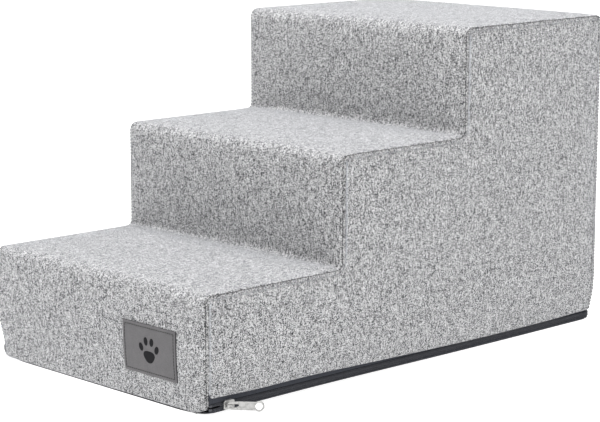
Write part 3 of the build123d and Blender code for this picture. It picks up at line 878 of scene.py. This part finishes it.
STITCH = 3.4 * MM  # length of a stitch, with its gap
STITCH_GAP = 0.09  # part of that left open at each end
STITCH_RADIUS = 0.38 * MM
STITCH_RISE = 0.25 * MM  # how far the stitches' middles stand out of the seam
for side_name, sign, column in (("right", 1, len(cover.columns) - 1), ("left", -1, 0)):
    seam = places[column * cover.rows : (column + 1) * cover.rows].copy()
    seam[:, 0] += sign * STITCH_RISE
    seam[:, 1:] += NORMALS * STITCH_RISE
    knots = resample(seam[2:], STITCH)
    gap = (knots[1:] - knots[:-1]) * STITCH_GAP
    name = f"seam_stitches_{side_name}"
    stitches = stitch_row(name, knots[:-1] + gap, knots[1:] - gap, STITCH_RADIUS, SEAM_THREAD)
    hand_in(stitches, f"seam_thread_{side_name}")


# ---- zip ----
STRAIGHT = TAPE_Y - ZIP_CORNER - ZIP_START
QUARTER = math.pi / 2 * ZIP_CORNER
ZIP_LENGTH = 2 * (STRAIGHT + QUARTER + TAPE_X - ZIP_CORNER)


def route(s):
    """Point on the tape's outer face and outward direction, in plan, at distance s from the right end."""
    s = np.asarray(s, float)
    mirrored = s > ZIP_LENGTH / 2
    t = np.where(mirrored, ZIP_LENGTH - s, s)
    angle = np.clip((t - STRAIGHT) / ZIP_CORNER, 0, math.pi / 2)
    x = TAPE_X - ZIP_CORNER + ZIP_CORNER * np.cos(angle) - np.maximum(t - STRAIGHT - QUARTER, 0)
    y = ZIP_START + np.minimum(t, STRAIGHT) + ZIP_CORNER * np.sin(angle)
    flip = np.where(mirrored, -1, 1)
    return np.stack([x * flip, y], axis=-1), np.stack([np.cos(angle) * flip, np.sin(angle)], axis=-1)


def along_zip(name, stations, section, material):
    """A closed section carried along the zip. section(s, y) gives its (outward, height) corners."""
    centre, normal = route(stations)
    verts, uvs = [], []
    for s, p, n in zip(stations, centre, normal):
        shape = np.array(section(s, p[1]))
        girth = along_line(shape)
        beside_chain = girth[np.argmin(np.abs(shape[:, 1] - chain_height(p[1])))]
        for (out, height), length in zip(shape, girth):
            verts.append((p[0] + n[0] * out, p[1] + n[1] * out, height))
            uvs.append((s, abs(length - beside_chain)))
    obj = new_object(name, verts, rod_faces(len(stations), len(shape)), material)
    set_uv(obj, uvs)
    return obj


def opening(s):
    """How far open the zip is at distance s: 1 just ahead of the slider, less at the end, 0 further back."""
    return float(1 - smooth(8 * MM, 17 * MM, s)) * float(smooth(-4 * MM, 6 * MM, s))


TAPE_THICK = 0.6 * MM
TAPE_HIDDEN = 5.5 * MM  # how far the upper tape goes up behind the hem


def upper_tape_section(s, y):
    """The tape hangs from behind the hem and bulges out where the zip is open."""
    top = float(cover_edge(y)) + TAPE_HIDDEN
    low_edge = float(chain_height(y)) + 0.6 * MM + 0.9 * MM * opening(s)
    belly = 0.35 * MM + 1.5 * MM * opening(s)
    middle = (top - TAPE_HIDDEN + low_edge) / 2
    outer = [(0.0, top), (0.1 * MM, top - 4.5 * MM), (belly, middle + 0.8 * MM), (belly, middle - 0.8 * MM)]
    outer.append((0.15 * MM + belly * 0.4, low_edge))
    return outer + [(out - TAPE_THICK, z) for out, z in reversed(outer)]


def lower_tape_section(s, y):
    """The tape comes down from the chain, bulges a little and turns in under the stairs."""
    top = float(chain_height(y)) - 0.6 * MM - 0.6 * MM * opening(s)
    floor = BASE_TOP + float(base_lift(y))
    low_turn = max(top - 3.6 * MM, floor + 0.5 * MM)
    outer = [
        (0.15 * MM + 0.6 * MM * opening(s), top),
        (0.2 * MM, 0.55 * top + 0.45 * low_turn),
        (0.9 * MM, 0.2 * top + 0.8 * low_turn),
        (0.6 * MM, low_turn - 0.1 * MM),
        (-0.7 * MM, floor + 0.12 * MM),
        (-1.9 * MM, floor),
        (-7.0 * MM, floor),
    ]
    inner = [
        (-7.0 * MM, floor + TAPE_THICK),
        (-2.0 * MM, floor + TAPE_THICK),
        (-1.1 * MM, floor + 0.75 * MM),
        (-0.1 * MM, low_turn + 0.15 * MM),
        (0.2 * MM, 0.2 * top + 0.8 * low_turn),
        (-0.4 * MM, 0.55 * top + 0.45 * low_turn),
        (-0.45 * MM, top),
    ]
    return outer + inner


TAPE_STATIONS = np.linspace(0, ZIP_LENGTH, round(ZIP_LENGTH / (2.2 * MM)))
upper_tape = along_zip("zip_tape_upper_cloth", TAPE_STATIONS, upper_tape_section, TAPE_CLOTH)
lower_tape = along_zip("zip_tape_lower_cloth", TAPE_STATIONS, lower_tape_section, TAPE_CLOTH)
hand_in(upper_tape, "zip_tape_upper")
hand_in(lower_tape, "zip_tape_lower")

COIL_PITCH = 1.35 * MM
COIL_WIRE = 0.31 * MM  # radius
STOP_ROOM = 3.2 * MM  # length without coil at each end, for the stops


def coil(name, above):
    """One nylon coil: a wire wound along its tape's edge, with flattened loops that mesh at the middle."""
    per_turn = 8
    around = 5
    turns = round((ZIP_LENGTH - 2 * STOP_ROOM) / COIL_PITCH)
    angle = np.arange(turns * per_turn) * 2 * math.pi / per_turn
    offset = 0.0 if above > 0 else COIL_PITCH / 4
    s = STOP_ROOM + offset + angle / (2 * math.pi) * COIL_PITCH
    centre, normal = route(s)
    opened = np.array([opening(v) for v in s])
    height = chain_height(centre[:, 1]) + above * (1.2 * MM + 1.16 * MM * np.sin(angle) + 1.0 * MM * opened)
    out = 0.78 * MM + 0.44 * MM * np.cos(angle) + 0.9 * MM * opened
    line = np.column_stack([centre + normal * out[:, None], height])
    tangent = np.gradient(line, axis=0)
    tangent /= np.linalg.norm(tangent, axis=1)[:, None]
    side = np.cross(tangent, np.column_stack([normal, np.zeros(len(s))]))
    side /= np.linalg.norm(side, axis=1)[:, None]
    other = np.cross(side, tangent)
    ring = []
    for k in range(around):
        a = 2 * math.pi * k / around
        ring.append(line + (side * math.cos(a) + other * math.sin(a)) * COIL_WIRE)
    verts = np.stack(ring, axis=1).reshape(-1, 3)
    return new_object(name, verts, rod_faces(len(s), around), COIL)


hand_in(coil("coil_upper", 1), "zip_coil_upper")
hand_in(coil("coil_lower", -1), "zip_coil_lower")

# the CAD solids that stay as they are get a material only
for material, kept in (
    (METAL, ("slider_body", "slider_bail", "zip_pull")),
    (COIL, ("zip_stops_front", "zip_stop_end")),
    (ZIP_THREAD, ("base_seam_thread", "zip_seam_thread_upper", "zip_seam_thread_lower")),
):
    for node in kept:
        nodes[node].data.materials.clear()
        nodes[node].data.materials.append(material)


# ---- base cloth ----
def base_cloth():
    """The anti-slip cloth: flat on the floor, with long edges that stand a little off it."""
    half = high("base_panel").x
    front = low("base_panel").y + 1.5 * MM
    back = high("base_panel").y
    xs = np.linspace(-half, half, 61)
    ys = np.linspace(front, back, 109)
    corner = ZIP_CORNER - 1.3 * MM
    verts, uvs = [], []
    for height in (0.0, BASE_TOP):
        for y in ys:
            for x in xs:
                px, py = round_corner(x, y, half, back, corner)
                px, py = round_corner(px, -py, half, -front, FRONT_CORNER)
                py = -py
                rise = float(base_lift(py)) * float(smooth(half - 38 * MM, half - 1 * MM, abs(px)))
                verts.append((px, py, height + rise))
                uvs.append((px, py))
    obj = new_object("base_cloth", verts, sheet_faces(len(ys), len(xs), flip=True), BASE_CLOTH)
    set_uv(obj, uvs)
    return obj


def round_corner(x, y, half, back, radius):
    """Draw a point of a rectangle in so that its two back corners are round."""
    cx, cy = half - radius, back - radius
    dx, dy = abs(x) - cx, y - cy
    if dx <= 0 or dy <= 0:
        return x, y
    reach = math.hypot(dx, dy)
    scale = max(dx, dy) / reach
    return math.copysign(cx + dx * scale, x), cy + dy * scale


hand_in(base_cloth(), "base_panel")


# ---- label ----
surface = BVHTree.FromObject(strip, bpy.context.evaluated_depsgraph_get())
LABEL_X = (LABEL_LOW.x + LABEL_HIGH.x) / 2
LABEL_Z = (LABEL_LOW.z + LABEL_HIGH.z) / 2
LABEL_W = LABEL_HIGH.x - LABEL_LOW.x
LABEL_H = LABEL_HIGH.z - LABEL_LOW.z


def cover_front(x, z):
    """The cover's front surface, as y, at a point on the lowest riser."""
    hit = surface.ray_cast(Vector((x, FRONT - 0.05, z)), Vector((0, 1, 0)))
    return hit[0].y


def fit_label():
    """Coefficients of the gently curved sheet that the patch makes over the padded riser."""
    rows, values = [], []
    for x in np.linspace(-0.5, 0.5, 9):
        for z in np.linspace(-0.5, 0.5, 7):
            rows.append((1, x, z, x * x, x * z, z * z))
            values.append(cover_front(LABEL_X + x * LABEL_W, LABEL_Z + z * LABEL_H))
    return np.linalg.lstsq(np.array(rows), np.array(values), rcond=None)[0]


LABEL_FIT = fit_label()
PATCH = 1.1 * MM  # how far the patch stands off the cover
LABEL_STITCH = 3.0 * MM  # both the stitches' length and their distance from the patch's edge
LABEL_STITCH_RADIUS = 0.34 * MM


def label_point(x, z, lift=0.0):
    """A point lift in front of the patch's face, from its offset from the patch's middle."""
    u, v = x / LABEL_W, z / LABEL_H
    y = float(LABEL_FIT @ np.array((1, u, v, u * u, u * v, v * v)))
    return (LABEL_X + x, y - PATCH - lift, LABEL_Z + z)


def label_patch():
    """The leather patch, with a soft cut edge, a groove along its stitches and a slight wave."""
    columns, rows = 49, 33
    verts = []
    for depth in (0.0, PATCH + 0.5 * MM):
        for v in np.linspace(-1, 1, rows):
            for u in np.linspace(-1, 1, columns):
                rim = min((1 - abs(u)) * LABEL_W / 2, (1 - abs(v)) * LABEL_H / 2)
                soft = 0.28 * MM * (1 - float(smooth(0, 1.6 * MM, rim)))
                pucker = 0.16 * MM * float(bump(rim, LABEL_STITCH, 0.8 * MM, 0.8 * MM))
                wave = 0.10 * MM * math.sin(u * 9.0 + 1.0) * math.sin(v * 5.0 + 0.4)
                lift = -depth if depth else -soft - pucker + wave
                verts.append(label_point(u * LABEL_W / 2, v * LABEL_H / 2, lift))
    obj = new_object("label_leather_patch", verts, sheet_faces(rows, columns), LEATHER)
    # the rim faces take the painted shadow colour, for the shade on the patch's thickness
    obj.data.materials.append(LABEL_EDGE_SHADE)
    rim_count = 2 * (rows + columns - 2)
    for polygon in obj.data.polygons[-rim_count:]:
        polygon.material_index = 1
        polygon.use_smooth = False
    return obj


def label_stitches():
    """One rectangle of stitches inside the patch's edge, sunk a little into the leather."""
    w, h = LABEL_W / 2 - LABEL_STITCH, LABEL_H / 2 - LABEL_STITCH
    loop = [(-w, -h), (w, -h), (w, h), (-w, h), (-w, -h)]
    starts, ends = [], []
    for (x0, z0), (x1, z1) in zip(loop, loop[1:]):
        count = round(math.hypot(x1 - x0, z1 - z0) / LABEL_STITCH)
        for k in range(count):
            for points, t in ((starts, (k + 0.08) / count), (ends, (k + 0.92) / count)):
                points.append(label_point(x0 + (x1 - x0) * t, z0 + (z1 - z0) * t, -0.05 * MM))
    return stitch_row("label_stitches", starts, ends, LABEL_STITCH_RADIUS, LABEL_THREAD)


def paw_print():
    """A generic paw: one pad with three soft lobes and four toes, each a thin raised disc."""
    verts, faces = [], []
    rings = ((0.0, 0.20), (0.5, 0.20), (0.9, 0.18), (1.0, 0.02), (1.0, -0.3))  # share of the radius, lift
    around = 40
    shapes = [(0, -5.6 * MM, 7.6 * MM, 5.6 * MM, 0.0, 0.09)]  # place, half width and height, tilt, lobes
    for x, z, tilt in ((-10.5, 2.0, 24), (-3.9, 8.0, 8), (3.9, 8.0, -8), (10.5, 2.0, -24)):
        shapes.append((x * MM, z * MM, 2.7 * MM, 3.9 * MM, math.radians(tilt), 0.0))
    for x, z, a, b, tilt, lobes in shapes:
        base = len(verts)
        for share, lift in rings:
            for k in range(around):
                angle = 2 * math.pi * k / around
                lobe = 1 + lobes * math.cos(3 * (angle + math.pi / 2))
                u, v = a * lobe * share * math.cos(angle), b * lobe * share * math.sin(angle)
                px = x + u * math.cos(tilt) - v * math.sin(tilt)
                pz = z + u * math.sin(tilt) + v * math.cos(tilt)
                verts.append(label_point(px, pz, lift * MM))
        wall = grid_faces(len(rings), around, closed=True, flip=True)
        faces += [tuple(base + i for i in f) for f in wall]
    return new_object("label_paw", verts, faces, INK)


hand_in(label_patch(), "label_patch")
hand_in(label_stitches(), "label_stitching")
hand_in(paw_print(), "label_motif")


# ---- foam blocks inside the cover ----
FOAM_CELL = 20 * MM  # spacing of the mesh
FOAM_SOFT = 0.5 * MM  # how far a face falls back from its middle to its edges


def foam_block(name, node):
    """A cut foam block, a little inside its CAD solid, with soft edges and slightly full faces."""
    a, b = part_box(node)
    inset = Vector((1.2 * MM, 1.2 * MM, 0.3 * MM))
    a, b = a + inset, b - inset
    if node == "foam_slab_bottom":
        a = a + Vector((8 * MM, 0, 1 * MM))
        b = b - Vector((8 * MM, 8 * MM, 0))
    cuts = max(round(length / FOAM_CELL) for length in b - a) // 2
    mesh = bmesh.new()
    bmesh.ops.create_cube(mesh, size=1)
    bmesh.ops.subdivide_edges(mesh, edges=mesh.edges[:], cuts=cuts, use_grid_fill=True)
    for v in mesh.verts:
        u = Vector([2 * c for c in v.co])
        for k in range(3):
            across, up = (u[j] for j in range(3) if j != k)
            crown = (1 - across**2) * (1 - up**2)
            on_face = abs(u[k]) > 0.99
            softened = FOAM_SOFT * u[k] * (1 - crown) if on_face else 0
            v.co[k] = a[k] + (b[k] - a[k]) * (u[k] + 1) / 2 - softened
    data = bpy.data.meshes.new(name)
    mesh.to_mesh(data)
    mesh.free()
    obj = bpy.data.objects.new(name, data)
    bpy.context.scene.collection.objects.link(obj)
    data.materials.append(FOAM)
    return subdivide(obj)


for level in ("bottom", "middle", "top"):
    piece = foam_block(f"foam_block_{level}", f"foam_slab_{level}")
    hand_in(piece, f"foam_slab_{level}")


# ---- studio ----
def studio_floor():
    """A wide pale floor."""
    at = np.linspace(-9.0, 9.0, 25)
    verts = [(x, y, 0.0) for y in at for x in at]
    return new_object("floor", verts, grid_faces(len(at), len(at)), floor_material("studio_floor"))


def area_light(name, place, target, size, power):
    """A square light at a place, pointing at a target."""
    data = bpy.data.lights.new(name, "AREA")
    data.shape = "SQUARE"
    data.size = size
    data.energy = power
    obj = bpy.data.objects.new(name, data)
    obj.location = place
    obj.rotation_euler = (Vector(target) - Vector(place)).to_track_quat("-Z", "Y").to_euler()
    bpy.context.scene.collection.objects.link(obj)


WORLD_STRENGTH = 0.62

studio_floor()
area_light("top", (0.1, -0.2, 2.6), (0, 0, 0.1), size=2.4, power=84)
area_light("front_left", (-1.6, -2.4, 1.5), (0, 0, 0.15), size=1.8, power=10)
area_light("front_right", (2.6, -0.9, 1.4), (0, 0, 0.15), size=1.8, power=12)
world = bpy.data.worlds.new("studio")
bpy.context.scene.world = world
world.use_nodes = True
background = world.node_tree.nodes["Background"]
background.inputs["Color"].default_value = (1, 1, 1, 1)
background.inputs["Strength"].default_value = WORLD_STRENGTH
bpy.context.scene.view_settings.view_transform = "Standard"
